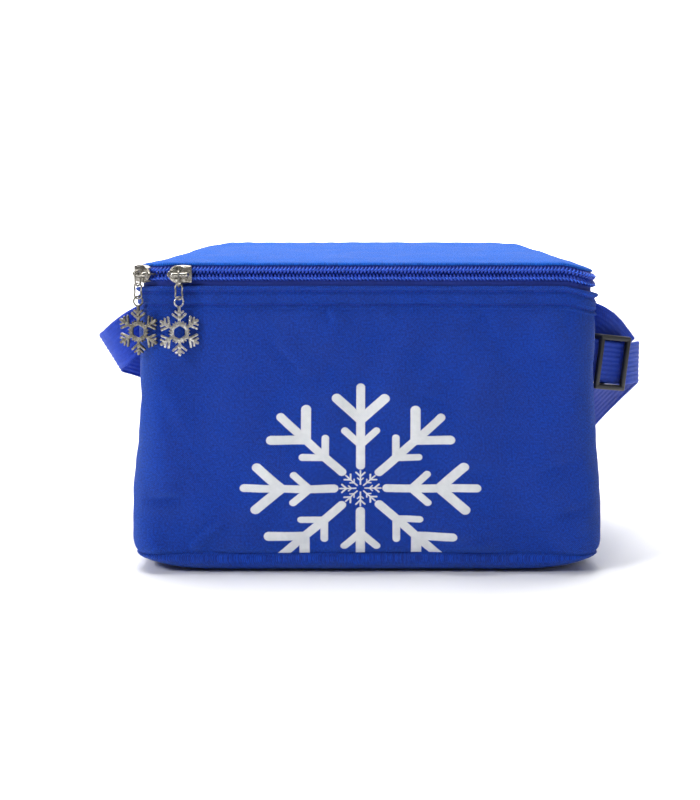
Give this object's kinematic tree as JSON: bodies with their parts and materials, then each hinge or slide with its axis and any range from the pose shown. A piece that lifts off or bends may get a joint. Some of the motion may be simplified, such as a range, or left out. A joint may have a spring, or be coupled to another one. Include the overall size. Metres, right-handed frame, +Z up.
{
  "type": "insulated cooler bag",
  "caption": "Small insulated cooler bag with a zipped hinged lid, foil lining, snowflake zip pulls and an adjustable webbing strap with a plastic glide.",
  "frame": {"origin": "centre of the bag's flat underside", "axes": "+Z up, the printed front faces -Y, +X to the right as the front is looked at"},
  "size_m": [0.2628, 0.2071, 0.1416],
  "materials": {
    "body_fabric": "matt royal blue polyester twill",
    "lid_fabric": "matt royal blue polyester twill",
    "insulation_foam": "white expanded foam",
    "foil_lining": "crinkled silver foil film",
    "binding_tape": "blue grosgrain",
    "zip_tape": "blue woven tape",
    "zip_coil": "blue nylon coil",
    "slider_nickel": "warm nickel plate",
    "charm_metal": "satin silver plate",
    "strap_webbing": "ribbed blue webbing",
    "black_plastic": "moulded black acetal"
  },
  "bodies": {
    "bag": {"front_wrap_panel": "body_fabric", "back_panel": "body_fabric", "bottom_panel": "body_fabric", "foam_front": "insulation_foam", "foam_back": "insulation_foam", "foam_left": "insulation_foam", "foam_right": "insulation_foam", "foam_bottom": "insulation_foam", "liner_tub": "foil_lining", "rim_binding": "binding_tape", "zip_tape_lower": "zip_tape", "zip_coil_lower": "zip_coil", "zip_stop_left": "slider_nickel", "zip_stop_right": "slider_nickel", "strap_anchor_left": "strap_webbing", "strap_anchor_right": "strap_webbing"},
    "lid": {"lid_panel": "lid_fabric", "lid_foam": "insulation_foam", "lid_lining": "foil_lining", "lid_binding": "binding_tape", "zip_tape_upper": "zip_tape", "zip_coil_upper": "zip_coil"},
    "zip_slider_right": {"slider_right": "slider_nickel"},
    "zip_slider_left": {"slider_left": "slider_nickel"},
    "pull_right": {"pull_loop_right": "slider_nickel", "pull_link_right": "slider_nickel"},
    "pull_left": {"pull_loop_left": "slider_nickel", "pull_link_left": "slider_nickel"},
    "charm_right": {"snowflake_charm_right": "charm_metal"},
    "charm_left": {"snowflake_charm_left": "charm_metal"},
    "strap": {"strap_webbing": "strap_webbing", "strap_end_fold": "strap_webbing"},
    "glide": {"tri_glide": "black_plastic"}
  },
  "joints": [
    {"name": "lid_hinge", "type": "hinge", "parent": "bag", "child": "lid", "pos_m": [0, 0.073, 0.134], "axis": [-1, 0, 0], "range_deg": [0, 110]},
    {"name": "slider_right_travel", "type": "slide", "parent": "bag", "child": "zip_slider_right", "axis": [1, 0, 0], "range_m": [0, 0.165]},
    {"name": "slider_left_travel", "type": "hinge", "parent": "bag", "child": "zip_slider_left", "pos_m": [-0.0878, -0.0599, 0.135], "axis": [0, 0, -1], "range_deg": [0, 20]},
    {"name": "pull_right_swing", "type": "hinge", "parent": "zip_slider_right", "child": "pull_right", "pos_m": [-0.0824, -0.0784, 0.135], "axis": [-1, 0, 0], "range_deg": [0, 110]},
    {"name": "charm_right_swing", "type": "hinge", "parent": "pull_right", "child": "charm_right", "pos_m": [-0.0824, -0.0784, 0.12415], "axis": [-0.9272, 0.3746, 0], "range_deg": [0, 50]},
    {"name": "pull_left_swing", "type": "hinge", "parent": "zip_slider_left", "child": "pull_left", "pos_m": [-0.10088, -0.07298, 0.135], "axis": [-0.7071, 0.7071, 0], "range_deg": [0, 110]},
    {"name": "charm_left_swing", "type": "hinge", "parent": "pull_left", "child": "charm_left", "pos_m": [-0.10088, -0.07298, 0.12415], "axis": [-0.9272, 0.3746, 0], "range_deg": [0, 50]},
    {"name": "strap_swing", "type": "hinge", "parent": "bag", "child": "strap", "pos_m": [0, 0, 0.101], "axis": [1, 0, 0], "range_deg": [0, 125]},
    {"name": "tri_glide_slide", "type": "slide", "parent": "strap", "child": "glide", "axis": [1, 0, 0], "range_m": [-0.001, 0.0025]}
  ]
}
